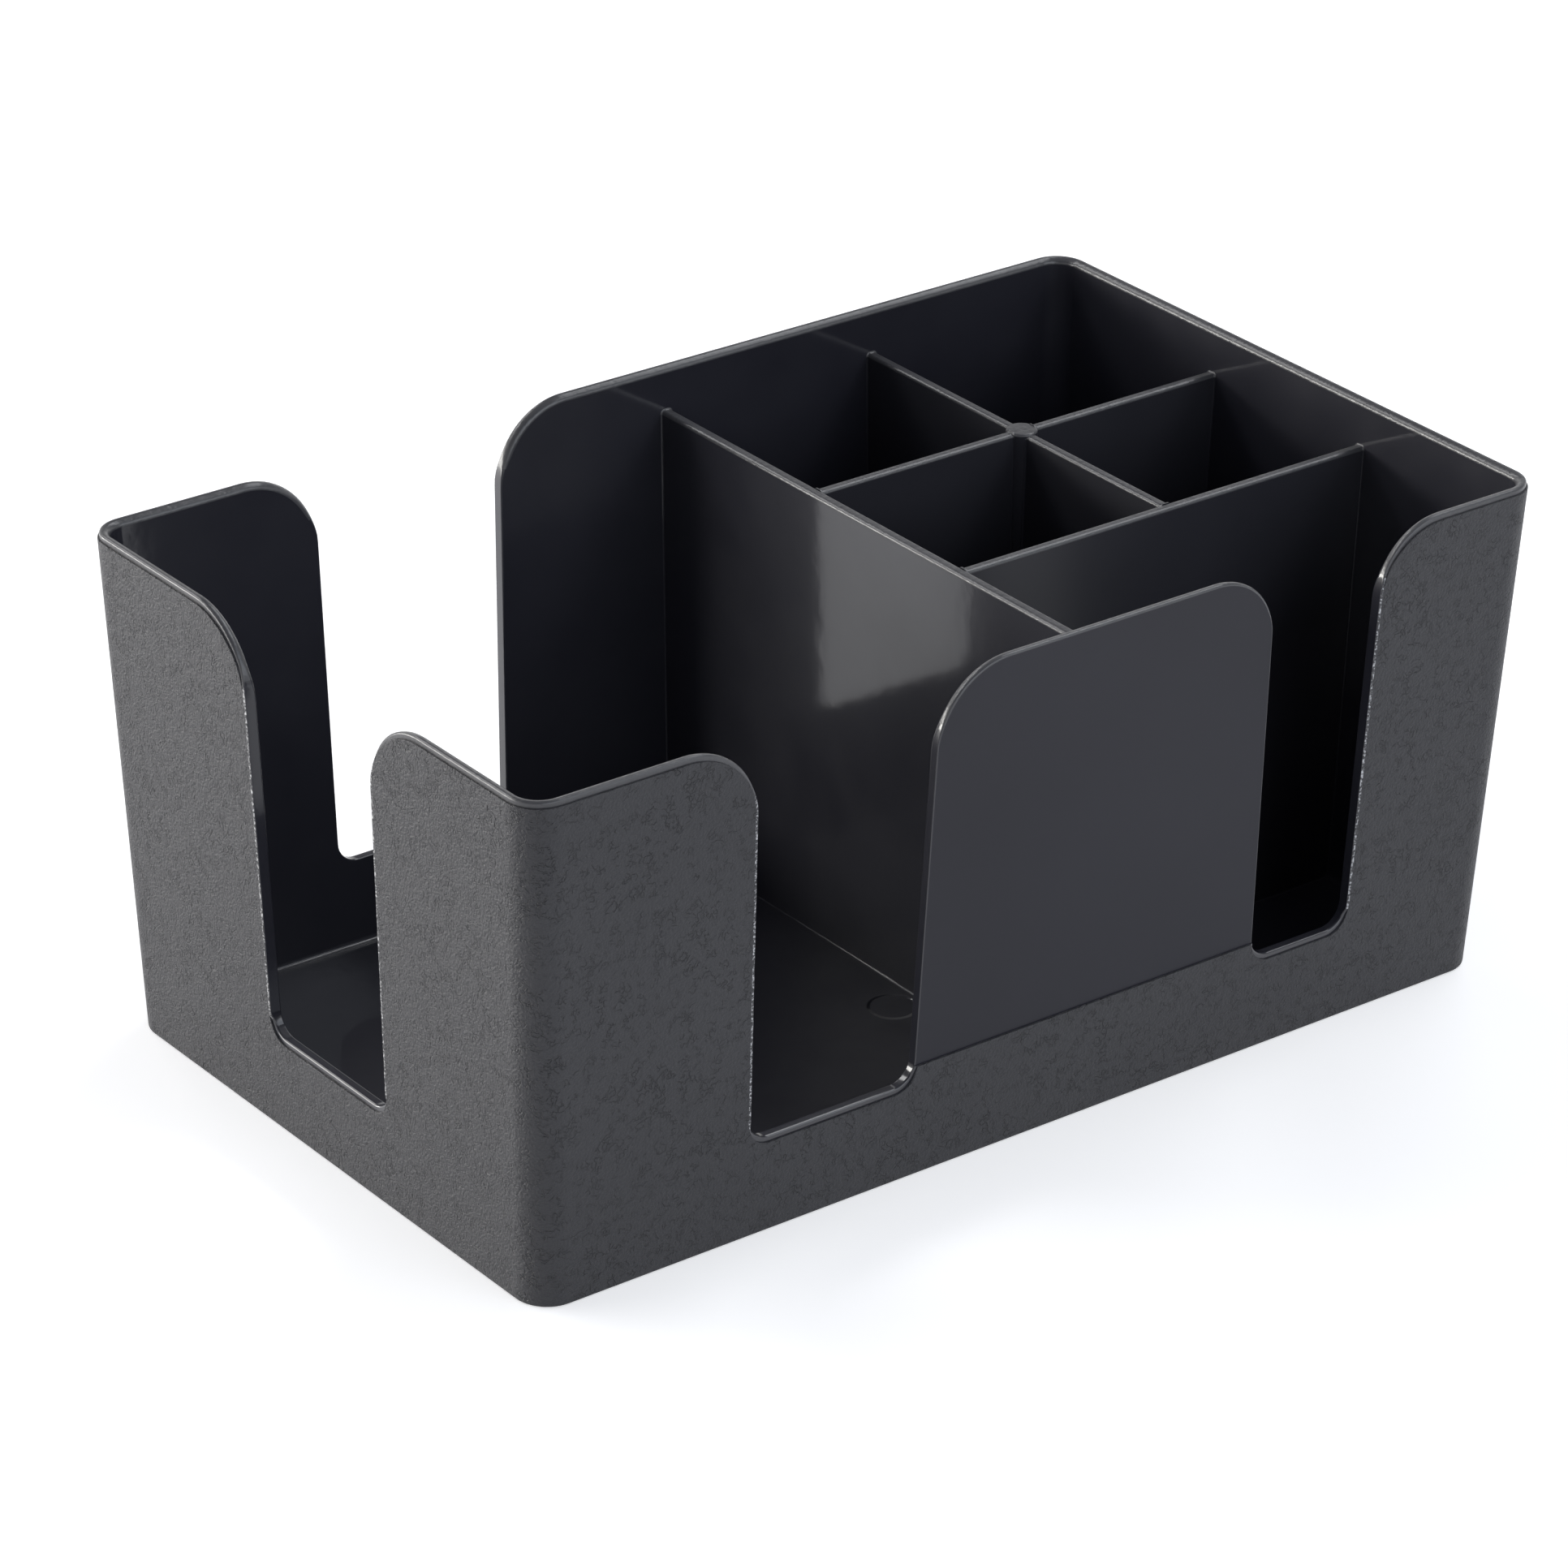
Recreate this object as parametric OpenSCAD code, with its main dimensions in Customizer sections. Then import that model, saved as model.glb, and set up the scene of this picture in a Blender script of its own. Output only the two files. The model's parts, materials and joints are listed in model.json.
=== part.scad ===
/* [Body] */
// Length over the walls, where they are widest
body_l = 237; // [215:1:280]
// Width over the walls, where they are widest
body_w = 144.8; // [135:0.2:180]
// Height of the rim above the table
body_h = 104.9; // [90:0.1:130]
// Lean of every wall, in degrees from upright
draft = 2.5; // [1:0.1:4]
// Outer radius of the four upright corners
corner_r = 7; // [4:0.5:12]
// Thickness of the walls
wall_t = 2.4; // [1.6:0.1:3.2]
// Thickness of the floor
floor_t = 2; // [1.2:0.1:4]

/* [Rim] */
// Height of the smooth lip above the grained skin
lip_h = 1.2; // [0.6:0.1:2]
// Depth by which the lip is set back from the grained skin
lip_in = 0.4; // [0.2:0.05:0.8]
// Height above the table where the smooth panel between the front slots begins
panel_z = 23.9; // [22:0.1:60]

/* [Finger slots] */
// Height of the slots' sills above the table
sill_z = 20.3; // [12:0.1:40]
// Lean of each side of a slot, in degrees from upright
slot_flare = 1.1; // [0.2:0.1:3]
// Radius of the lower corners of a slot
slot_foot_r = 4.5; // [2:0.5:8]
// Radius of the shoulders of the three wide slots
shoulder_r = 16; // [8:0.5:19]
// Radius of the shoulders of the narrow slot
narrow_shoulder_r = 14.5; // [8:0.5:18]
// Width of the wide front slot at its sill
front_slot_w = 37.9; // [28:0.1:46]
// Width of the narrow front slot at its sill
narrow_slot_w = 23.7; // [18:0.1:30]
// Width of the rear slot at its sill
rear_slot_w = 40; // [28:0.1:46]
// Width of the slot in the end wall at its sill
end_slot_w = 37.9; // [28:0.1:46]
// Distance of the wide front slot to the right of the napkin bay's middle
front_slot_shift = 2.8; // [-5:0.1:5]
// Distance of the narrow slot to the right of the cells' middle
narrow_slot_shift = -1; // [-4:0.1:4]
// Distance of the rear slot to the right of the napkin bay's middle
rear_slot_shift = 4.3; // [-5:0.1:5]
// Distance of the end slot behind the middle of its wall
end_slot_shift = -2; // [-5:0.1:5]

/* [Bays] */
// Clear length of the napkin bay at the top of the partition
napkin_bay_l = 129.4; // [124:0.1:136]
// Clear length of the two cells beside the partition
inner_cell_l = 49.3; // [42:0.1:54]
// Clear width of the long front bay
front_bay_w = 45; // [38:0.1:50]
// Clear width of the middle pair of cells
middle_cell_w = 42.7; // [36:0.1:48]

/* [Dividers] */
// Depth of the partition's top below the rim
divider_drop = 9; // [4:0.5:25]
// Thickness of the partition at its rounded top
partition_t = 2.4; // [1.6:0.1:3]
// Thickness of the other dividers at their rounded tops
divider_t = 2.2; // [1.6:0.1:3]
// Lean of each divider face, in degrees from upright
divider_draft = 0.5; // [0.2:0.1:1]
// Height that each divider loses to the one that it runs into
top_step = 0.2; // [0.1:0.05:0.5]
// Diameter of the post where the four cells meet
hub_d = 6.4; // [5:0.1:10]

/* [Hidden] */
$fn = 96;

// Overrun of cuts and of solids that are trimmed later
over = 1;
// Larger than the body in every direction
reach = body_l + body_w + body_h;

// Outward run of a wall for each unit of height
lean = tan(draft);
// Top of the grained skin, where the body is widest
skin_top = body_h - lip_h;
// Half length and half width of the foot
foot_l = body_l / 2 - skin_top * lean;
foot_w = body_w / 2 - skin_top * lean;
// Wall thickness measured level
wall_run = wall_t / cos(draft);
// Half length and half width of the floor, which reaches the walls' outer faces
floor_l = foot_l + floor_t * lean;
floor_w = foot_w + floor_t * lean;

// Each corner is part of a tube whose axis leans along the corner's edge
axis_l = foot_l - corner_r / cos(draft);
axis_w = foot_w - corner_r / cos(draft);
axis_lean = atan(sqrt(2) * lean);
corner_sweep = 2 * atan(1 / sqrt(1 + 2 * lean * lean));

// The wall and the rebate that sets its lip back, as [depth where it starts, depth
// where it ends, degrees by which it runs on past the corner]
WALL = [0, wall_t, 0];
REBATE = [-over, lip_in, corner_sweep / 2];

// Tops of the partition, the long dividers and the cross dividers
partition_top = body_h - divider_drop;
long_top = partition_top - top_step;
cross_top = long_top - top_step;

// Half length and half width of the hollow at a height
function hollow_l(z) = foot_l + z * lean - wall_run;
function hollow_w(z) = foot_w + z * lean - wall_run;

// Middle planes of the dividers
partition_x = napkin_bay_l + partition_t / 2 - hollow_l(partition_top);
cross_x = partition_x + partition_t / 2 + inner_cell_l + divider_t / 2;
front_y = front_bay_w + divider_t / 2 - hollow_w(partition_top);
rear_y = front_y + divider_t + middle_cell_w;

// Middles of the slots along their walls
napkin_bay_x = partition_x - partition_t / 2 - napkin_bay_l / 2;
cells_x = (partition_x + partition_t / 2 + hollow_l(partition_top)) / 2;
front_slot_x = napkin_bay_x + front_slot_shift;
narrow_slot_x = cells_x + narrow_slot_shift;
rear_slot_x = napkin_bay_x + rear_slot_shift;

// Each slot is [middle along the wall, width at the sill, shoulder radius]
FRONT_SLOTS = [
  [front_slot_x, front_slot_w, shoulder_r],
  [narrow_slot_x, narrow_slot_w, narrow_shoulder_r]
];
REAR_SLOTS = [[rear_slot_x, rear_slot_w, shoulder_r]];
NAPKIN_END_SLOTS = [[end_slot_shift, end_slot_w, shoulder_r]];

// Places its children on the leaning axis of the +X -Y corner, with their own X axis
// square to the front wall and their own Z axis along the corner
module corner_axis() {
  mirror([0, 1, 0])
    translate([axis_l, axis_w, 0])
      rotate([0, axis_lean, 45])
        mirror([0, 1, 0])
          rotate([0, 0, -corner_sweep / 2])
            children();
}

// The right half of a layer of the front wall, flat and then round the corner
module half_layer(layer) {
  thick = layer[1] - layer[0];
  height = body_h + 2 * corner_r;
  corner_axis() {
    translate([corner_r - layer[1], -body_l, -corner_r])
      cube([thick, body_l, height]);
    rotate_extrude(angle = corner_sweep + layer[2])
      translate([corner_r - layer[1], -corner_r])
        square([thick, height]);
  }
}

// A slot seen along its cut: sides that flare upwards, round feet and round shoulders
module slot_outline(width, shoulder) {
  half = width / 2;
  foot = slot_foot_r;
  foot_x = half - foot * (1 - sin(slot_flare)) / cos(slot_flare);
  foot_z = sill_z + foot;
  top_z = body_h - shoulder;
  top_x = half + (shoulder + (top_z - sill_z) * sin(slot_flare)) / cos(slot_flare);
  side = [
    [foot_x, sill_z],
    [foot_x + foot * cos(slot_flare), foot_z - foot * sin(slot_flare)],
    [top_x - shoulder * cos(slot_flare), top_z + shoulder * sin(slot_flare)],
    [top_x, body_h],
    [top_x, body_h + lip_h + over]
  ];
  difference() {
    union() {
      polygon(concat(side, [for (i = [len(side) - 1:-1:0]) [-side[i].x, side[i].y]]));
      for (x = [-foot_x, foot_x])
        translate([x, foot_z])
          circle(r = foot);
    }
    for (x = [-top_x, top_x])
      translate([x, top_z])
        circle(r = shoulder);
  }
}

// The slots of a wall at the -Y side, lowered by a drop
module slot_cuts(slots, out, drop) {
  depth = 2 * (wall_run + body_h * lean + over);
  for (slot = slots)
    translate([slot[0], -out, -drop])
      rotate([90, 0, 0])
        linear_extrude(height = depth, center = true)
          slot_outline(slot[1], slot[2]);
}

// Cuts the slots from its first child and, along the rim and the slots and between two
// slots, sets the surface back by what its second child takes off the outside
module rim_and_slots(slots, out) {
  difference() {
    children(0);
    slot_cuts(slots, out, 0);
    intersection() {
      children(1);
      union() {
        slot_cuts(slots, out, lip_h);
        translate([-reach, -reach, skin_top])
          cube([2 * reach, 2 * reach, body_h]);
        if (len(slots) > 1)
          translate([slots[0][0], -reach, panel_z])
            cube([slots[1][0] - slots[0][0], reach, body_h]);
      }
    }
  }
}

// A long wall at the -Y side with both of its corners
module long_wall(slots) {
  for (side = [0, 1])
    rim_and_slots(slots, foot_w) {
      mirror([side, 0, 0])
        intersection() {
          half_layer(WALL);
          translate([0, -reach, floor_t])
            cube([reach, 2 * reach, body_h - floor_t]);
        }
      mirror([side, 0, 0])
        half_layer(REBATE);
    }
}

// The flat face of an end wall, in its own leaning plane, between the corners
module end_face() {
  low = -over;
  high = body_h / cos(draft) + over;
  side = foot_w - corner_r * cos(draft);
  polygon([
    [-side - low * sin(draft), low],
    [side + low * sin(draft), low],
    [side + high * sin(draft), high],
    [-side - high * sin(draft), high]
  ]);
}

// An end wall, drawn at the -Y side, that fits between the corners of the long walls
module end_wall(slots) {
  rim_and_slots(slots, foot_l) {
    intersection() {
      translate([0, -foot_l, 0])
        rotate([90 + draft, 0, 0])
          translate([0, 0, -WALL[1]])
            linear_extrude(height = WALL[1] - WALL[0])
              end_face();
      translate([-reach, -reach, floor_t])
        cube([2 * reach, 2 * reach, body_h - floor_t]);
    }
    translate([0, -foot_l, 0])
      rotate([90 + draft, 0, 0])
        translate([-reach, -reach, -REBATE[1]])
          cube([2 * reach, 2 * reach, REBATE[1] - REBATE[0]]);
  }
}

// One way across the hollow, from the floor to the rim
module hollow_profile(low_half, high_half) {
  linear_extrude(height = reach, center = true)
    polygon([
      [-low_half, floor_t],
      [low_half, floor_t],
      [high_half, body_h],
      [-high_half, body_h]
    ]);
}

// The hollow between the flat walls, above the floor
module hollow() {
  intersection() {
    rotate([90, 0, 0])
      hollow_profile(hollow_l(floor_t), hollow_l(body_h));
    rotate([90, 0, 90])
      hollow_profile(hollow_w(floor_t), hollow_w(body_h));
  }
}

// A divider along X between two places: a tapered plate with a full round on top
module divider(from, to, thick, top) {
  round_z = top - thick / 2;
  foot = thick / 2 + (round_z - floor_t) * tan(divider_draft);
  translate([from, 0, 0])
    rotate([90, 0, 90])
      linear_extrude(height = to - from)
        union() {
          polygon([
            [-foot, floor_t],
            [foot, floor_t],
            [thick / 2, round_z],
            [-thick / 2, round_z]
          ]);
          translate([0, round_z])
            circle(r = thick / 2);
        }
}

// The dividers before they are trimmed to the walls and to each other
module partition_blank() {
  translate([partition_x, 0, 0])
    rotate([0, 0, 90])
      divider(-body_w / 2, body_w / 2, partition_t, partition_top);
}

module long_blank(y, from, to) {
  translate([0, y, 0])
    divider(from, to, divider_t, long_top);
}

module cross_blank(from, to) {
  translate([cross_x, 0, 0])
    rotate([0, 0, 90])
      divider(from, to, divider_t, cross_top);
}

// What the dividers that meet at the post leave free for each other
module crossing() {
  divider_hub();
  long_blank(rear_y, partition_x, body_l / 2);
}

module floor() {
  color("#2b2b2e")
    union() {
      for (x = [corner_r - floor_l, floor_l - corner_r], y = [corner_r - floor_w, floor_w - corner_r])
        translate([x, y, 0])
          cylinder(h = floor_t, r = corner_r);
      translate([-floor_l, corner_r - floor_w, 0])
        cube([2 * floor_l, 2 * (floor_w - corner_r), floor_t]);
      translate([corner_r - floor_l, -floor_w, 0])
        cube([2 * (floor_l - corner_r), 2 * floor_w, floor_t]);
    }
}

module front_wall() {
  color("#47474a")
    long_wall(FRONT_SLOTS);
}

module rear_wall() {
  color("#47474a")
    mirror([0, 1, 0])
      long_wall(REAR_SLOTS);
}

module napkin_end_wall() {
  color("#5e5e61")
    rotate([0, 0, -90])
      mirror([1, 0, 0])
        end_wall(NAPKIN_END_SLOTS);
}

module cell_end_wall() {
  color("#5e5e61")
    rotate([0, 0, 90])
      end_wall([]);
}

module napkin_partition() {
  color("#38383b")
    intersection() {
      partition_blank();
      hollow();
    }
}

module front_divider() {
  color("#38383b")
    intersection() {
      difference() {
        long_blank(front_y, partition_x, body_l / 2);
        partition_blank();
      }
      hollow();
    }
}

module rear_divider_left() {
  color("#38383b")
    difference() {
      long_blank(rear_y, partition_x, cross_x);
      partition_blank();
      divider_hub();
    }
}

module rear_divider_right() {
  color("#38383b")
    intersection() {
      difference() {
        long_blank(rear_y, cross_x, body_l / 2);
        divider_hub();
      }
      hollow();
    }
}

module cross_divider_front() {
  color("#38383b")
    difference() {
      cross_blank(front_y, rear_y);
      long_blank(front_y, partition_x, body_l / 2);
      crossing();
    }
}

module cross_divider_rear() {
  color("#38383b")
    intersection() {
      difference() {
        cross_blank(rear_y, body_w / 2);
        crossing();
      }
      hollow();
    }
}

module divider_hub() {
  color("#505053")
    translate([cross_x, rear_y, floor_t])
      cylinder(h = partition_top - floor_t, d = hub_d);
}

floor();
front_wall();
rear_wall();
napkin_end_wall();
cell_end_wall();
napkin_partition();
front_divider();
rear_divider_left();
rear_divider_right();
cross_divider_front();
cross_divider_rear();
divider_hub();
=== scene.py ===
"""Open bar caddy in moulded charcoal plastic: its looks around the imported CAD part."""
import json
import math
from collections import namedtuple

import bmesh
import bpy
from mathutils import Matrix, Quaternion, Vector

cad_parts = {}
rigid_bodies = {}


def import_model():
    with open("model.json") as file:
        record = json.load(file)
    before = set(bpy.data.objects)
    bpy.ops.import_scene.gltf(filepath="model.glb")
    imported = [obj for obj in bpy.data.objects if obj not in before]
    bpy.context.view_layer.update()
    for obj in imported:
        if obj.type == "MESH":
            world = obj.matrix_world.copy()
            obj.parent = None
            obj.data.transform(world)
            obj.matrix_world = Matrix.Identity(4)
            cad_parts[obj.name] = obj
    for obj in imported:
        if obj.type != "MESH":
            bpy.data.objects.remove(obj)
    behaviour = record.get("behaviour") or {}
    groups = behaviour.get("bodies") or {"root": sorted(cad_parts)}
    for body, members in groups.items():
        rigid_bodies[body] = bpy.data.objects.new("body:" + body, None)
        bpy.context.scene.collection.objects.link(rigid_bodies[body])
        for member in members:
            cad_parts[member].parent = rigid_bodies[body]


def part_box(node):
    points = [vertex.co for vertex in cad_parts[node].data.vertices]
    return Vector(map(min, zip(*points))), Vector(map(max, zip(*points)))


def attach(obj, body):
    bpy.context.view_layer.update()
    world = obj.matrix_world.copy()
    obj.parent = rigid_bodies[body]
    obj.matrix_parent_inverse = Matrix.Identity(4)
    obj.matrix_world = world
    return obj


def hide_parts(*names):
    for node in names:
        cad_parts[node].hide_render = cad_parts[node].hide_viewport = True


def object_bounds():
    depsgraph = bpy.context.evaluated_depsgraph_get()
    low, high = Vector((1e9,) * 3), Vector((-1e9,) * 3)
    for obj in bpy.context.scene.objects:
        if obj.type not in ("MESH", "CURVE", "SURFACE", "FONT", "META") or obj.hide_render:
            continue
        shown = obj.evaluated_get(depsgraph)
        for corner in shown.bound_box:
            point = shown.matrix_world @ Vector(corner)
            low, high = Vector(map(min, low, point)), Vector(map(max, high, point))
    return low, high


# What an empty scene starts with goes before the frame comes in
for left_over in list(bpy.data.objects):
    bpy.data.objects.remove(left_over)
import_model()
cad_low, cad_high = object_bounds()


# Tub: floor, four leaning walls and their round corners are one moulding in charcoal
# plastic, with walls of 2.4 mm. It is grained outside, but not on the lip and on the
# panel between the front slots. These two and the inside came off smooth steel.

MM = 0.001
DRAFT = math.radians(2.5)
LEAN = math.tan(DRAFT)
WALL = 2.4 * MM
FLOOR_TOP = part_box("floor")[1].z
RIM_TOP = cad_high.z
LIP_HEIGHT = 1.2 * MM
LIP_SET_BACK = 0.4 * MM
CORNER_RADIUS = 7 * MM
CORNER_STEPS = 12

# Half length and half width at the table, of the foot and then of the oblong on which
# the leaning centre lines of the corners stand
skin_top = RIM_TOP - LIP_HEIGHT
foot = [cad_high.x - skin_top * LEAN, cad_high.y - skin_top * LEAN]
bend = [half - CORNER_RADIUS / math.cos(DRAFT) for half in foot]

SILL = 20.3 * MM
SLOT_FLARE = math.radians(1.1)
SLOT_FOOT_RADIUS = 4.5 * MM
SLOT_FOOT_STEPS = 9
WIDE_SHOULDER = 16 * MM
NARROW_SHOULDER = 14.5 * MM
SHOULDER_STEPS = 18
PANEL_BOTTOM = 23.9 * MM

# The sides are numbered front, cell end, rear, napkin end. Their finger slots, as
# (place along the side, width at the sill, radius of the shoulders)
FRONT = 0
slots = [
    [
        (-48.257 * MM, 37.9 * MM, WIDE_SHOULDER),
        (64.9 * MM, 23.7 * MM, NARROW_SHOULDER),
    ],
    [],
    [(46.757 * MM, 40 * MM, WIDE_SHOULDER)],
    [(2 * MM, 37.9 * MM, WIDE_SHOULDER)],
]


def side_outline(side):
    """The upper edge of one side as seen from outside, from left to right."""
    flat = bmesh.new()
    half = bend[side % 2] + RIM_TOP * LEAN
    corners = [(-half, 0), (-half, RIM_TOP)]
    rounds = []
    for middle, width, shoulder in slots[side]:
        top = width / 2 + (RIM_TOP - SILL) * math.tan(SLOT_FLARE)
        for place, level, radius, steps in (
            (-top, RIM_TOP, shoulder, SHOULDER_STEPS),
            (-width / 2, SILL, SLOT_FOOT_RADIUS, SLOT_FOOT_STEPS),
            (width / 2, SILL, SLOT_FOOT_RADIUS, SLOT_FOOT_STEPS),
            (top, RIM_TOP, shoulder, SHOULDER_STEPS),
        ):
            rounds.append((len(corners), radius, steps))
            corners.append((middle + place, level))
    corners += [(half, RIM_TOP), (half, 0)]
    points = [flat.verts.new((x, 0, z)) for x, z in corners]
    flat.faces.new(points)
    # How far from its corner a round of radius 1 begins
    reach = math.tan((math.pi / 2 - SLOT_FLARE) / 2)
    for number, radius, steps in rounds:
        bmesh.ops.bevel(
            flat,
            geom=[points[number]],
            offset=radius * reach,
            segments=steps,
            profile=0.5,
            affect="VERTICES",
            material=-1,
        )
    line = [v.co.copy() for v in flat.faces[:][0].verts]
    flat.free()
    top_left = min(range(len(line)), key=lambda i: (line[i].x, -line[i].z))
    line = line[top_left:] + line[:top_left]
    if line[1].z < RIM_TOP / 2:
        line = [line[0]] + line[:0:-1]
    return [p for p in line if p.z > SILL / 2]


# A place along the rim: across and up point out of the plastic there, turn is the angle
# round the corner that follows the side, or None on the flat of the wall, and panel is
# true along the smooth panel
Station = namedtuple("Station", "side along height across up turn panel")


def over_panel(side, point):
    """Whether a point of a side's outline is on the panel between the front slots."""
    if side != FRONT or point.z < PANEL_BOTTOM:
        return False
    return slots[side][0][0] < point.x < slots[side][1][0]


def rim_stations():
    """Every place along the rim, with two in one at each end of the panel's step."""
    stations = []

    def add(side, point, run, panel):
        stations.append(Station(side, point.x, point.z, -run.z, run.x, None, panel))

    for side in range(len(slots)):
        line = side_outline(side)
        for before, here, after in zip(line, line[1:], line[2:]):
            add(side, here, (after - before).normalized(), over_panel(side, here))
            if over_panel(side, here) != over_panel(side, after):
                share = (PANEL_BOTTOM - here.z) / (after.z - here.z)
                for point in (here, after):
                    run = (after - here).normalized()
                    edge = here.lerp(after, share)
                    add(side, edge, run, over_panel(side, point))
        for step in range(CORNER_STEPS + 1):
            turn = math.pi / 2 * step / CORNER_STEPS
            stations.append(Station(side, 0, RIM_TOP, 0, 1, turn, False))
    return stations


def on_wall(station, offset, depth):
    """The point so far below the rim's edge and so far in from the grained face."""
    z = station.height - station.up * offset
    length, width = station.side % 2, 1 - station.side % 2
    if station.turn is None:
        x = station.along - station.across * offset
        y = foot[width] + z * LEAN - depth / math.cos(DRAFT)
    else:
        radius = (CORNER_RADIUS - depth) / math.cos(DRAFT)
        x = bend[length] + z * LEAN + radius * math.sin(station.turn)
        y = bend[width] + z * LEAN + radius * math.cos(station.turn)
    return Matrix.Rotation(station.side * math.pi / 2, 3, "Z") @ Vector((x, -y, z))


LIP_ROUND = 0.5 * MM
SLOT_EDGE_ROUND = 0.22 * MM
SLOT_EDGE_BURRS = 0.35 * MM
SKIN_ROUND = 0.14 * MM
INNER_ROUND = 1.25 * MM
SLOT_INNER_ROUND = 0.3 * MM
ROUND_STEPS = 6
ROUND_CUT = 1 - math.sqrt(0.5)

# How far up an edge faces, from 0 to 1, where the lip's step begins to show, and how
# much further where the step is whole
STEP_BEGINS = 0.08
STEP_GROWS = 0.42


def quarter(steps):
    """The angles of a quarter turn in even steps."""
    return [math.pi / 2 * number / steps for number in range(steps + 1)]


def step_shown(up):
    """How much of the lip's step is left where the edge runs at this slope."""
    shown = min(max((up - STEP_BEGINS) / STEP_GROWS, 0), 1)
    return shown * shown * (3 - 2 * shown)


def rim_profile(station):
    """Across the thickness at the rim, from the grained face to the inner one.

    The step under the lip fades out where the edge turns steep along a slot, and the
    smooth panel has no step, because all of it is set back as the lip is. The inner
    edge is only well rounded along the rim."""
    shown = step_shown(station.up)
    inner_round = SLOT_INNER_ROUND
    if station.height > RIM_TOP / 2:
        inner_round += (INNER_ROUND - SLOT_INNER_ROUND) * shown
    outer_round = SLOT_EDGE_ROUND + (LIP_ROUND - SLOT_EDGE_ROUND) * shown
    step = outer_round + SLOT_EDGE_BURRS
    step += (LIP_HEIGHT * station.up - step) * shown
    skin_round = SKIN_ROUND * shown
    depth = LIP_SET_BACK * shown
    if station.panel:
        depth = LIP_SET_BACK
    line = [
        (step + skin_round, 0),
        (step + skin_round * ROUND_CUT, skin_round * ROUND_CUT),
        (step, skin_round),
        (step, depth),
    ]
    if station.panel:
        line = [(outer_round, depth)] * len(line)
    for angle in quarter(ROUND_STEPS):
        sink, set_in = 1 - math.sin(angle), 1 - math.cos(angle)
        line.append((outer_round * sink, depth + outer_round * set_in))
    for angle in quarter(ROUND_STEPS):
        sink, set_in = 1 - math.cos(angle), 1 - math.sin(angle)
        line.append((inner_round * sink, WALL - inner_round * set_in))
    return line


def first_ring(mesh, order, points):
    """A closed ring of edges through the points, each numbered in its order."""
    corners = []
    for number, point in enumerate(points):
        v = mesh.verts.new(point)
        v[order] = number
        corners.append(v)
    return [mesh.edges.new((a, b)) for a, b in zip(corners, corners[1:] + corners[:1])]


def grow_ring(mesh, ring, order, place, finish):
    """Extrudes a closed ring of edges and puts each new corner where place says.

    Each new face gets the finish that the place of its first corner asks for."""
    grown = bmesh.ops.extrude_edge_only(mesh, edges=ring)["geom"]
    corners = {v for v in grown if isinstance(v, bmesh.types.BMVert)}
    for v in corners:
        v.co = place(v[order])
    for face in grown:
        if isinstance(face, bmesh.types.BMFace):
            face.material_index = finish(min(v[order] for v in face.verts))
    return [
        e
        for e in grown
        if isinstance(e, bmesh.types.BMEdge) and corners.issuperset(e.verts)
    ]


def ring_corners(ring, order):
    """The corners of a ring, in the order of their numbers."""
    corners = {v[order]: v for e in ring for v in e.verts}
    return [corners[number] for number in sorted(corners)]


# The finishes of the tub. Of the strips across the rim the first ones are the step
# under the lip, and the next ones run half way round the outer edge.
GRAINED, POLISHED, SATIN, WORN_SHEEN, GLINT_SPECKED = range(5)
SKIN_STRIPS = 3
EDGE_STRIPS = SKIN_STRIPS + 1 + ROUND_STEPS // 2


def edge_finish(station, strip):
    """The grain ends at the lip, and on the steep edges of the slots in a dark edge
    with pale specks painted on as glints.

    Use has nicked the rim, which also has a lighter colour painted on as sheen. The
    slots' sides and sills are smooth and dark."""
    level = step_shown(station.up) > 0.5
    if strip <= SKIN_STRIPS and not station.panel:
        return GRAINED
    if level and station.height > RIM_TOP / 2:
        return WORN_SHEEN
    if level or station.panel or strip > EDGE_STRIPS:
        return POLISHED
    return GLINT_SPECKED


tub = bmesh.new()
order = tub.verts.layers.int.new("order")
stations = rim_stations()
profiles = [rim_profile(station) for station in stations]

skin_edge = first_ring(
    tub, order, [on_wall(s, *profile[0]) for s, profile in zip(stations, profiles)]
)
inner_edge = skin_edge
for strip in range(1, len(profiles[0])):
    inner_edge = grow_ring(
        tub,
        inner_edge,
        order,
        lambda number: on_wall(stations[number], *profiles[number][strip]),
        lambda number: edge_finish(stations[number], strip),
    )

# The round edge under the foot and the fillet round the inner floor
FOOT_ROUND = 0.6 * MM
FLOOR_FILLET = 1.2 * MM
corner_places = [number for number, s in enumerate(stations) if s.turn is not None]


def corner_point(number, z, depth):
    """A point of a corner at a height above the table."""
    station = stations[corner_places[number]]
    return on_wall(station._replace(height=z, up=0), 0, depth)


foot_line = []
floor_line = []
for angle in quarter(ROUND_STEPS):
    sink, set_in = 1 - math.sin(angle), 1 - math.cos(angle)
    foot_line.append((FOOT_ROUND * set_in, FOOT_ROUND * sink))
    floor_line.append((FLOOR_TOP + FLOOR_FILLET * set_in, WALL + FLOOR_FILLET * sink))

count = len(corner_places)
lower_edges = []
for line, finish in ((foot_line, GRAINED), (floor_line, POLISHED)):
    ring = first_ring(tub, order, [corner_point(n, *line[0]) for n in range(count)])
    tub.faces.new(ring_corners(ring, order)).material_index = finish
    for point in line[1:]:
        ring = grow_ring(
            tub,
            ring,
            order,
            lambda number: corner_point(number, *point),
            lambda number: finish,
        )
    lower_edges.append(ring)

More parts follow.
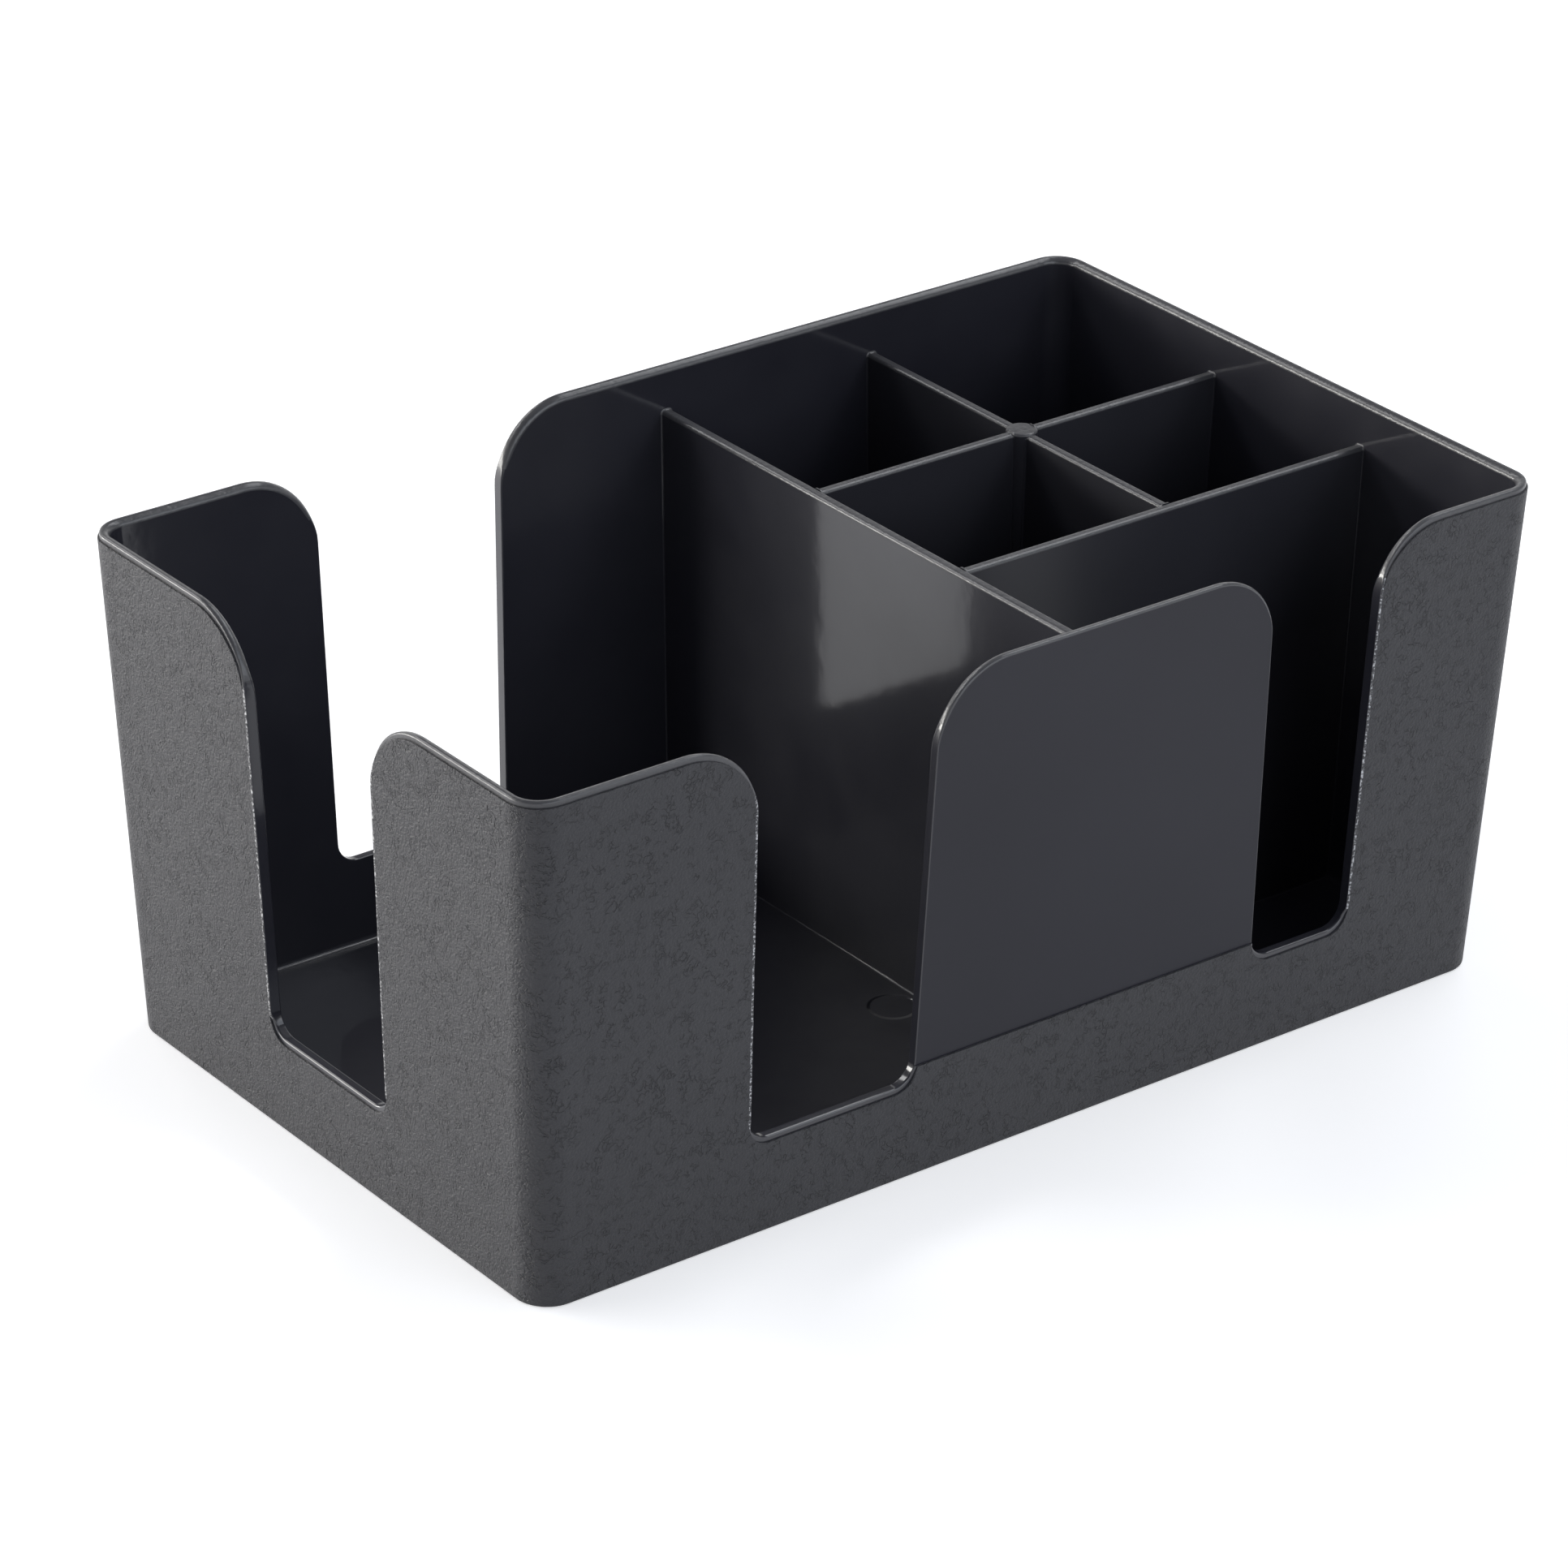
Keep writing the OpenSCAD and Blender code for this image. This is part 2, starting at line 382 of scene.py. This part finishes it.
# The flats of the walls, the strips round their corners and the step under the panel
for upper, lower, finish in (
    (skin_edge, lower_edges[0], GRAINED),
    (inner_edge, lower_edges[1], POLISHED),
):
    upper, lower = ring_corners(upper, order), ring_corners(lower, order)
    for number in range(count):
        following = (number + 1) % count
        start, end = corner_places[number], corner_places[following]
        if end < start:
            end += len(upper)
        above = [i % len(upper) for i in range(start, end + 1)]
        panel = [i for i in above if finish == GRAINED and stations[i].panel]
        skin = [upper[i] for i in above if i not in panel]
        tub.faces.new([lower[following], lower[number]] + skin).material_index = finish
        if panel:
            tub.faces.new([upper[i] for i in panel]).material_index = SATIN
            ends = (panel[0] - 1, panel[0], panel[-1], panel[-1] + 1)
            tub.faces.new([upper[i] for i in ends]).material_index = GRAINED

MERGE_WITHIN = 0.004 * MM
bmesh.ops.remove_doubles(tub, verts=tub.verts, dist=MERGE_WITHIN)
bmesh.ops.recalc_face_normals(tub, faces=tub.faces)


def set_inputs(tree, node, inputs):
    """Gives inputs of a node their values, or links the outputs that feed them."""
    for name, value in inputs.items():
        if isinstance(value, bpy.types.NodeSocket):
            tree.links.new(value, node.inputs[name])
        else:
            node.inputs[name].default_value = value


def add_node(tree, kind, inputs, **settings):
    """A new node with its settings and its inputs, by their names or numbers."""
    node = tree.nodes.new(kind)
    for name, value in settings.items():
        setattr(node, name, value)
    set_inputs(tree, node, inputs)
    return node


def calculated(tree, operation, *values):
    """The outcome of a sum, each value a number or an output."""
    inputs = dict(enumerate(values))
    node = add_node(tree, "ShaderNodeMath", inputs, operation=operation)
    return node.outputs["Value"]


def remapped(tree, value, before, after, curve="LINEAR"):
    """A value whose range before is stretched or squeezed to the range after."""
    inputs = {
        "Value": value,
        "From Min": before[0],
        "From Max": before[1],
        "To Min": after[0],
        "To Max": after[1],
    }
    node = add_node(tree, "ShaderNodeMapRange", inputs, interpolation_type=curve)
    return node.outputs["Result"]


def mixed(tree, factor, first, second):
    """A colour from the first to the second by a factor from 0 to 1."""
    inputs = {"Factor": factor, "A": first, "B": second}
    return add_node(tree, "ShaderNodeMix", inputs, data_type="RGBA").outputs["Result"]


def bumped(tree, height, strength, distance, under=None, sunk=False):
    """The normal where a height from 0 to 1 stands proud, or is sunk, by a distance."""
    inputs = {"Height": height, "Strength": strength, "Distance": distance}
    if under is not None:
        inputs["Normal"] = under
    return add_node(tree, "ShaderNodeBump", inputs, invert=sunk).outputs["Normal"]


VECTOR, NUMBER = "NodeSocketVector", "NodeSocketFloat"


def new_effect(name, inputs, outputs):
    """A new, empty effect, with the sockets of what it is given and what it makes."""
    group = bpy.data.node_groups.new(name, "ShaderNodeTree")
    for way, sockets in (("INPUT", inputs), ("OUTPUT", outputs)):
        for socket, kind in sockets.items():
            group.interface.new_socket(socket, in_out=way, socket_type=kind)
    given = group.nodes.new("NodeGroupInput").outputs
    makes = group.nodes.new("NodeGroupOutput").inputs
    return group, given, makes


# The grain's noises, as (fineness against the creases, detail). A crease follows the
# line where the waves cross their middle, breaks off where the breaks are low, and is
# cut deeper in some patches than in others.
WAVES = 1.0, 2
WAVE_MIDDLE = 0.5
CREASE_HALF_WIDTH = 0.055
BREAKS = 0.55, 1
BREAK_EDGES = 0.45, 0.58
PATCHES = 0.12, 2
PATCH_EDGES = 0.35, 0.65
PATCH_CUTS = 0.3, 0.55
TOOTH = 2.6, 3
TOOTH_HEIGHT = 0.7


def leather_grain_group():
    """Grain etched into the mould: short wavy creases in patches over a fine tooth."""
    group, given, makes = new_effect(
        "leather_grain",
        {"Place": VECTOR, "Creases": NUMBER},
        {"Height": NUMBER, "Tooth": NUMBER},
    )

    def noise(fineness, detail):
        scale = calculated(group, "MULTIPLY", given["Creases"], fineness)
        inputs = {"Vector": given["Place"], "Scale": scale, "Detail": detail}
        return add_node(group, "ShaderNodeTexNoise", inputs).outputs["Fac"]

    def ramp(value, before, after):
        return remapped(group, value, before, after, "SMOOTHSTEP")

    from_middle = calculated(group, "SUBTRACT", noise(*WAVES), WAVE_MIDDLE)
    off_line = calculated(group, "ABSOLUTE", from_middle)
    crease = ramp(off_line, (0, CREASE_HALF_WIDTH), (1, 0))
    short = ramp(noise(*BREAKS), BREAK_EDGES, (0, 1))
    patch = ramp(noise(*PATCHES), PATCH_EDGES, PATCH_CUTS)
    tooth = noise(*TOOTH)
    cut = calculated(
        group, "MULTIPLY", calculated(group, "MULTIPLY", crease, short), patch
    )
    raised = calculated(group, "MULTIPLY", tooth, TOOTH_HEIGHT)
    group.links.new(calculated(group, "SUBTRACT", raised, cut), makes["Height"])
    group.links.new(tooth, makes["Tooth"])
    return group


# An ejector pin's seat on the napkin bay's floor
SEAT_MIDDLE = 6.5 * MM, -17 * MM, 0
SEAT_RADIUS = 4.8 * MM
SEAT_EDGE = 0.4 * MM


def pin_mark_group():
    """A round seat of an ejector pin: 1 within the radius about an upright axis."""
    group, given, makes = new_effect(
        "pin_mark",
        {"Place": VECTOR, "Middle": VECTOR, "Radius": NUMBER},
        {"Mark": NUMBER},
    )

    def vector_node(operation, *values):
        inputs = dict(enumerate(values))
        return add_node(group, "ShaderNodeVectorMath", inputs, operation=operation)

    apart = vector_node("SUBTRACT", given["Place"], given["Middle"])
    level = vector_node("MULTIPLY", apart.outputs["Vector"], (1, 1, 0))
    far = vector_node("LENGTH", level.outputs["Vector"])
    inside = calculated(group, "SUBTRACT", given["Radius"], far.outputs["Value"])
    edge = remapped(group, inside, (-SEAT_EDGE, SEAT_EDGE), (0, 1), "SMOOTHSTEP")
    group.links.new(edge, makes["Mark"])
    return group


MOTTLE_DETAIL = 4
MOTTLE_REACH = 0.3, 0.7


def mottle_group():
    """Slow unevenness of a moulded surface, from 0 to 1 about a middle of a half."""
    group, given, makes = new_effect(
        "moulding_mottle", {"Place": VECTOR, "Patches": NUMBER}, {"Mottle": NUMBER}
    )
    inputs = {
        "Vector": given["Place"],
        "Scale": given["Patches"],
        "Detail": MOTTLE_DETAIL,
    }
    patches = add_node(group, "ShaderNodeTexNoise", inputs)
    mottle = remapped(group, patches.outputs["Fac"], MOTTLE_REACH, (0, 1))
    group.links.new(mottle, makes["Mottle"])
    return group


leather_grain = leather_grain_group()
pin_mark = pin_mark_group()
moulding_mottle = mottle_group()


def effect(tree, group, **values):
    """What an effect makes in a material, on the object's own coordinates."""
    place = tree.nodes.get("place") or tree.nodes.new("ShaderNodeTexCoord")
    place.name = "place"
    inputs = {"Place": place.outputs["Object"], **values}
    return add_node(tree, "ShaderNodeGroup", inputs, node_tree=group).outputs


def new_finish(name):
    """A new material and its tree of nodes."""
    material = bpy.data.materials.new(name)
    material.use_nodes = True
    return material, material.node_tree


def set_shader(tree, inputs):
    """Sets the shader of a finish, socket by socket."""
    set_inputs(tree, tree.nodes["Principled BSDF"], inputs)


def grained_charcoal():
    """The outside: matte charcoal with the mould's leather grain."""
    material, tree = new_finish("grained_charcoal")
    grain = effect(tree, leather_grain, Creases=720)
    mottle = effect(tree, moulding_mottle, Patches=28)["Mottle"]
    dark, light = (0.032, 0.032, 0.036, 1), (0.037, 0.037, 0.041, 1)
    shader = {
        "Base Color": mixed(tree, mottle, dark, light),
        "IOR": 1.4,
        "Roughness": remapped(tree, grain["Tooth"], (0, 1), (0.4, 0.6)),
        "Normal": bumped(tree, grain["Height"], strength=1, distance=0.5 * MM),
    }
    set_shader(tree, shader)
    return material


# Past 0 and 1, so that the painted glints are pale specks on a dark edge
GLINT_CONTRAST = -1.4, 1.6


def glint_specked_charcoal():
    """The grain's edge at the slots: dark, with pale specks painted on as glints."""
    material, tree = new_finish("glint_specked_charcoal")
    grain = effect(tree, leather_grain, Creases=620)
    glint_spots = effect(tree, moulding_mottle, Patches=2200)["Mottle"]
    # Pale specks: painted glints on the dark edge
    specks = remapped(tree, glint_spots, (0, 1), GLINT_CONTRAST)
    dark, pale = (0.030, 0.030, 0.034, 1), (0.55, 0.55, 0.56, 1)
    shader = {
        "Base Color": mixed(tree, specks, dark, pale),
        "IOR": 1.45,
        "Roughness": 0.32,
        "Normal": bumped(tree, grain["Height"], strength=1, distance=0.3 * MM),
    }
    set_shader(tree, shader)
    return material


def charcoal_gloss(name, dark, light, haze):
    """A smooth near-black finish: a thin gloss with some haze over a duller plastic."""
    material, tree = new_finish(name)
    mottle = effect(tree, moulding_mottle, Patches=22)["Mottle"]
    shader = {
        "Base Color": mixed(tree, mottle, dark, light),
        "IOR": 1.45,
        "Specular IOR Level": 0.25,
        "Coat Weight": 0.95,
        "Coat IOR": 1.5,
        "Coat Roughness": haze,
    }
    set_shader(tree, shader)
    return material, tree


def polished_charcoal():
    """The inside and the partition, with the ejector pin's seat on the floor."""
    dark, light = (0.016, 0.016, 0.022, 1), (0.022, 0.022, 0.029, 1)
    material, tree = charcoal_gloss("polished_charcoal", dark, light, haze=0.09)
    smudges = effect(tree, moulding_mottle, Patches=75)["Mottle"]
    smudged = bumped(tree, smudges, strength=0.12, distance=0.2 * MM)
    seat = effect(tree, pin_mark, Middle=SEAT_MIDDLE, Radius=SEAT_RADIUS)["Mark"]
    seated = bumped(
        tree, seat, strength=1, distance=0.4 * MM, under=smudged, sunk=True
    )
    shader = {
        "Roughness": remapped(tree, smudges, (0, 1), (0.34, 0.46)),
        "Normal": seated,
        "Coat Normal": seated,
    }
    set_shader(tree, shader)
    return material


def worn_sheen_charcoal():
    """The rim and the webs' tops: polished and nicked by use, with a lighter colour
    painted on as sheen.
    """
    # Lighter than the inside: a painted sheen where the tops catch the light, in a tone
    # that varies at random
    dark, light = (0.042, 0.042, 0.046, 1), (0.070, 0.070, 0.075, 1)
    material, tree = charcoal_gloss("worn_sheen_charcoal", dark, light, haze=0.23)
    nicks = effect(tree, moulding_mottle, Patches=900)["Mottle"]
    nicked = bumped(tree, nicks, strength=0.35, distance=0.1 * MM)
    shader = {
        "Coat Weight": 0.6,
        "Roughness": remapped(tree, nicks, (0, 1), (0.3, 0.5)),
        "Normal": nicked,
        "Coat Normal": nicked,
    }
    set_shader(tree, shader)
    return material


def satin_charcoal():
    """The panel between the front slots: smooth, but duller than the inside."""
    material, tree = new_finish("satin_charcoal")
    mottle = effect(tree, moulding_mottle, Patches=16)["Mottle"]
    dark, light = (0.010, 0.010, 0.016, 1), (0.015, 0.015, 0.022, 1)
    shader = {
        "Base Color": mixed(tree, mottle, dark, light),
        "IOR": 1.34,
        "Roughness": remapped(tree, mottle, (0, 1), (0.3, 0.36)),
    }
    set_shader(tree, shader)
    return material


charcoal_grained = grained_charcoal()
charcoal_polished = polished_charcoal()
charcoal_satin = satin_charcoal()
charcoal_worn_sheen = worn_sheen_charcoal()
charcoal_glint_specked = glint_specked_charcoal()

SHARP_EDGE = math.radians(50)


def moulded_piece(name, shape, nodes, slot, *finishes):
    """Puts a finished piece of the moulding in place, with soft edges shaded round."""
    mesh = bpy.data.meshes.new(name)
    shape.to_mesh(mesh)
    shape.free()
    for face in mesh.polygons:
        face.use_smooth = True
    mesh.set_sharp_from_angle(angle=SHARP_EDGE)
    for finish in finishes:
        mesh.materials.append(finish)
    piece = bpy.data.objects.new(name, mesh)
    bpy.context.scene.collection.objects.link(piece)
    weighted = piece.modifiers.new("flat_walls", "WEIGHTED_NORMAL")
    weighted.keep_sharp = True
    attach(piece, "root")
    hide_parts(*nodes)


moulded_piece(
    "moulded_tub",
    tub,
    ["floor", "front_wall", "rear_wall", "napkin_end_wall", "cell_end_wall"],
    "grained_shell",
    charcoal_grained,
    charcoal_polished,
    charcoal_satin,
    charcoal_worn_sheen,
    charcoal_glint_specked,
)


# Webs: the tall partition and the lower dividers that make the small bays. They taper
# upwards for the mould, have a narrow flat between two rounded edges on top, and run
# into the floor, the walls and each other with small fillets.

WEB_DRAFT = math.radians(0.5)
WEB_FILLET = 0.35 * MM
WEB_END_FILLET = 0.35 * MM
WEB_EDGE_SHARE = 0.62
EMBED = 0.3 * MM
PARTITION_TOP_THICKNESS = 2.4 * MM
DIVIDER_TOP_THICKNESS = 2.2 * MM

# Numbers of the axes in a point, and of the two finishes of a web
X, Y = range(2)
SIDES, RUBBED_SHEEN = range(2)


def hazed_charcoal():
    """The low dividers, which came off duller steel than the partition."""
    dark, light = (0.018, 0.018, 0.023, 1), (0.024, 0.024, 0.030, 1)
    material, tree = charcoal_gloss("hazed_charcoal", dark, light, haze=0.22)
    set_shader(tree, {"Coat Weight": 0.3, "Roughness": 0.45})
    return material


charcoal_hazed = hazed_charcoal()


def middle_of(name, axis):
    """The middle of a CAD node along an axis."""
    low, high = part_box(name)
    return (low[axis] + high[axis]) / 2


def web_half(thickness, top, z):
    """Half the thickness of a web at a height."""
    return thickness / 2 + max(top - thickness / 2 - z, 0) * math.tan(WEB_DRAFT)


def web_section(thickness, top):
    """Round a web's section, as (across, height, out across, out up)."""
    wide = web_half(thickness, top, FLOOR_TOP) + WEB_FILLET
    right = [(wide, FLOOR_TOP - EMBED, 0, 0)]
    for angle in quarter(ROUND_STEPS):
        out = math.sin(angle), math.cos(angle)
        z = FLOOR_TOP + WEB_FILLET * (1 - out[1])
        right.append((wide - WEB_FILLET * out[0], z, *out))
    edge = thickness / 2 * WEB_EDGE_SHARE
    for angle in quarter(ROUND_STEPS):
        out = math.cos(angle), math.sin(angle)
        across = thickness / 2 - edge + edge * out[0]
        right.append((across, top - edge + edge * out[1], *out))
    return right + [(-a, z, -out, up) for a, z, out, up in reversed(right)]


def make_web(name, thickness, runs_along, low_end, high_end, side_finish):
    """A web along X or Y, between the faces that carry its ends.

    The ends are functions that give the carrying face's place at a height."""
    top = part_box(name)[1].z
    middle = middle_of(name, X if runs_along == Y else Y)
    section = web_section(thickness, top)
    # The top comes after the point in the floor and the points of its fillet
    first_top_strip = ROUND_STEPS + 2
    last_top_strip = len(section) - 1 - first_top_strip

    def place(number, end, inward, away, swell):
        across, z, out, up = section[number]
        across, z = middle + across + out * swell, z + up * swell
        run = end(z) + inward * away
        return Vector((across, run, z) if runs_along == Y else (run, across, z))

    # The top strips get the finish with the painted sheen
    def finish(number):
        return RUBBED_SHEEN if first_top_strip <= number < last_top_strip else SIDES

    cuts = []
    for end, inward in ((low_end, 1), (high_end, -1)):
        half = [(end, inward, -EMBED, WEB_END_FILLET)]
        for angle in reversed(quarter(ROUND_STEPS)):
            away = WEB_END_FILLET * (1 - math.sin(angle))
            half.append((end, inward, away, WEB_END_FILLET * (1 - math.cos(angle))))
        cuts.append(half)
    every_cut = cuts[0] + cuts[1][::-1]
    shape = bmesh.new()
    order = shape.verts.layers.int.new("order")
    ring = first_ring(
        shape, order, [place(n, *every_cut[0]) for n in range(len(section))]
    )
    ends = [ring]
    for cut in every_cut[1:]:
        ring = grow_ring(
            shape, ring, order, lambda number: place(number, *cut), finish
        )
    ends.append(ring)
    for ring in ends:
        shape.faces.new(ring_corners(ring, order))
    bmesh.ops.recalc_face_normals(shape, faces=shape.faces)
    moulded_piece(
        name + "_web",
        shape,
        [name],
        "polished_inside",
        side_finish,
        charcoal_worn_sheen,
    )


def wall_face(axis, sign):
    """The inner face of a wall: its place at a height, along X or Y."""
    return lambda z: sign * (foot[axis] + z * LEAN - WALL / math.cos(DRAFT))


def web_face(name, axis, thickness, sign):
    """A face of a web that another web runs into."""
    middle, top = middle_of(name, axis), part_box(name)[1].z
    return lambda z: middle + sign * web_half(thickness, top, z)


def post_face(axis, sign):
    """The side of the round post where the four small dividers meet."""
    low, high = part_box("divider_hub")
    middle, radius = (low[axis] + high[axis]) / 2, (high[axis] - low[axis]) / 2
    return lambda z: middle + sign * (radius - EMBED)


beside_partition = web_face("napkin_partition", X, PARTITION_TOP_THICKNESS, 1)
behind_front = web_face("front_divider", Y, DIVIDER_TOP_THICKNESS, 1)
make_web(
    "napkin_partition",
    PARTITION_TOP_THICKNESS,
    Y,
    wall_face(Y, -1),
    wall_face(Y, 1),
    charcoal_polished,
)
for name, runs_along, low_end, high_end in (
    ("front_divider", X, beside_partition, wall_face(X, 1)),
    ("rear_divider_left", X, beside_partition, post_face(X, -1)),
    ("rear_divider_right", X, post_face(X, 1), wall_face(X, 1)),
    ("cross_divider_front", Y, behind_front, post_face(Y, -1)),
    ("cross_divider_rear", Y, post_face(Y, 1), wall_face(Y, 1)),
):
    make_web(
        name, DIVIDER_TOP_THICKNESS, runs_along, low_end, high_end, charcoal_hazed
    )


# Post: the small round post where four dividers cross, an ejector pin's seat in the
# mould, with a flat top and a softly rounded edge. It is as dull as the dividers.

POST_EDGE = 0.5 * MM
POST_STEPS = 48
post_low, post_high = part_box("divider_hub")
post_radius = (post_high.x - post_low.x) / 2
post_middle = Vector((middle_of("divider_hub", X), middle_of("divider_hub", Y), 0))

post = bmesh.new()
line = [(0, FLOOR_TOP - EMBED), (post_radius + WEB_FILLET, FLOOR_TOP - EMBED)]
for angle in quarter(ROUND_STEPS):
    z = FLOOR_TOP + WEB_FILLET * (1 - math.cos(angle))
    line.append((post_radius + WEB_FILLET * (1 - math.sin(angle)), z))
for angle in quarter(ROUND_STEPS):
    z = post_high.z - POST_EDGE * (1 - math.sin(angle))
    line.append((post_radius - POST_EDGE * (1 - math.cos(angle)), z))
line.append((0, post_high.z))
points = [post.verts.new(post_middle + Vector((x, 0, z))) for x, z in line]
for a, b in zip(points, points[1:]):
    post.edges.new((a, b))
bmesh.ops.spin(
    post,
    geom=post.verts[:] + post.edges[:],
    cent=post_middle,
    axis=(0, 0, 1),
    angle=2 * math.pi,
    steps=POST_STEPS,
    use_merge=True,
)
bmesh.ops.remove_doubles(post, verts=post.verts, dist=MERGE_WITHIN)
bmesh.ops.recalc_face_normals(post, faces=post.faces)
# The post's top gets the finish with the painted sheen
for face in post.faces:
    if face.calc_center_median().z > post_high.z - POST_EDGE:
        face.material_index = RUBBED_SHEEN
moulded_piece(
    "divider_post",
    post,
    ["divider_hub"],
    "polished_inside",
    charcoal_hazed,
    charcoal_worn_sheen,
)


# Studio: a white table that runs out to a white sweep under a dark ceiling. A large
# softbox stands low behind the caddy's left, with a small one above it, and another
# stands in front. Two strips hang behind and at the right, and a weak box overhead.

TABLE_SIZE = 40
TABLE_WHITE = 0.8, 0.8, 0.8, 1
TABLE_GLOW = 0.46


def background_rays(tree):
    """1 where the background is seen straight, mirrored or through glass, else 0."""
    rays = tree.nodes.new("ShaderNodeLightPath").outputs
    mirrored = calculated(
        tree, "MAXIMUM", rays["Is Camera Ray"], rays["Is Glossy Ray"]
    )
    return calculated(tree, "MAXIMUM", mirrored, rays["Is Transmission Ray"])


table_mesh = bpy.data.meshes.new("table_top")
table_shape = bmesh.new()
bmesh.ops.create_grid(table_shape, x_segments=1, y_segments=1, size=TABLE_SIZE / 2)
table_shape.to_mesh(table_mesh)
table_shape.free()
table = bpy.data.objects.new("table_top", table_mesh)
bpy.context.scene.collection.objects.link(table)

table_white, tree = new_finish("table_white")
tree.nodes.remove(tree.nodes["Principled BSDF"])
paint = add_node(tree, "ShaderNodeBsdfDiffuse", {"Color": TABLE_WHITE})
share = calculated(tree, "MULTIPLY", background_rays(tree), TABLE_GLOW)
glow = add_node(tree, "ShaderNodeEmission", {"Strength": share})
both = {0: paint.outputs["BSDF"], 1: glow.outputs["Emission"]}
surface = add_node(tree, "ShaderNodeAddShader", both).outputs["Shader"]
set_inputs(tree, tree.nodes["Material Output"], {"Surface": surface})
table.data.materials.append(table_white)

# The sweep is white for the camera. What the plastic mirrors is white up to a fifth of
# the way to the zenith and dark from a third of it, and its light on the plastic is low
WHITE = 1, 1, 1, 1
CEILING = 0.06, 0.06, 0.07, 1
WHITE_UP_TO = 0.28
DARK_FROM = 0.46
SWEEP_LIGHT = 0.2, 0.205, 0.235, 1

world = bpy.data.worlds.new("studio")
bpy.context.scene.world = world
world.use_nodes = True
tree = world.node_tree
way = tree.nodes.new("ShaderNodeTexCoord").outputs["Generated"]
rise = add_node(tree, "ShaderNodeSeparateXYZ", {"Vector": way}).outputs["Z"]
sky = add_node(tree, "ShaderNodeValToRGB", {"Fac": rise})
for stop, place, colour in zip(
    sky.color_ramp.elements, (WHITE_UP_TO, DARK_FROM), (WHITE, CEILING)
):
    stop.position = place
    stop.color = colour
rays = tree.nodes.new("ShaderNodeLightPath").outputs
seen = mixed(tree, rays["Is Camera Ray"], sky.outputs["Color"], WHITE)
studio_light = mixed(tree, background_rays(tree), SWEEP_LIGHT, seen)
set_inputs(tree, tree.nodes["Background"], {"Color": studio_light})


def softbox(name, place, size, watts, colour=(1, 1, 1)):
    """An oblong area lamp that points from its place at the caddy's middle."""
    lamp = bpy.data.lights.new(name, "AREA")
    lamp.shape = "RECTANGLE"
    lamp.size, lamp.size_y = size
    lamp.energy = watts
    lamp.color = colour
    lamp_object = bpy.data.objects.new(name, lamp)
    lamp_object.location = place
    way = Vector((0, 0, RIM_TOP / 2)) - Vector(place)
    lamp_object.rotation_mode = "QUATERNION"
    lamp_object.rotation_quaternion = way.to_track_quat("-Z", "Y")
    bpy.context.scene.collection.objects.link(lamp_object)


WARM, COOL, PALE_COOL = (1, 0.98, 0.94), (0.86, 0.92, 1), (0.95, 0.97, 1)
softbox("left_softbox", (-1.2, 1.1, 0.21), (1.6, 0.4), watts=32, colour=WARM)
softbox("back_left_box", (-0.72, 0.82, 0.97), (0.8, 0.26), watts=1.5)
softbox("front_softbox", (0.16, -1.24, 0.66), (1.5, 0.8), watts=8.7, colour=COOL)
softbox("back_strip", (-0.35, 0.98, 0.93), (1.3, 0.26), watts=5.5)
softbox("right_strip", (0.72, 0, 1.02), (1.3, 0.32), watts=6, colour=PALE_COOL)
softbox("top_softbox", (0, -0.2, 1.4), (1.2, 1.2), watts=1)


# Camera: a long lens from the front left and above, with the slight tilt and the place
# of the lens's centre that the photograph has.

PHOTO_PIXELS = 1932
LENS_PIXELS = 7951.7
LENS_CENTRE_X = 967.3
LENS_CENTRE_Y = 973.7
SENSOR = 36

azimuth, elevation = math.radians(-37.522), math.radians(26.805)
roll = math.radians(0.783)
target = Vector((-28.17, -26.70, 63.47)) * MM
distance = 1204.4 * MM
back = Vector(
    (
        math.sin(azimuth) * math.cos(elevation),
        -math.cos(azimuth) * math.cos(elevation),
        math.sin(elevation),
    )
)
lens = bpy.data.cameras.new("studio_camera")
lens.sensor_width = SENSOR
lens.lens = LENS_PIXELS / PHOTO_PIXELS * SENSOR
lens.shift_x = (PHOTO_PIXELS / 2 - LENS_CENTRE_X) / PHOTO_PIXELS
lens.shift_y = (LENS_CENTRE_Y - PHOTO_PIXELS / 2) / PHOTO_PIXELS
lens.clip_start = 0.05
lens.clip_end = 100
camera = bpy.data.objects.new("studio_camera", lens)
camera.location = target + back * distance
camera.rotation_mode = "QUATERNION"
aim = (-back).to_track_quat("-Z", "Y")
camera.rotation_quaternion = aim @ Quaternion((0, 0, 1), roll)
bpy.context.scene.collection.objects.link(camera)
bpy.context.scene.camera = camera

bpy.context.scene.view_settings.view_transform = "Standard"
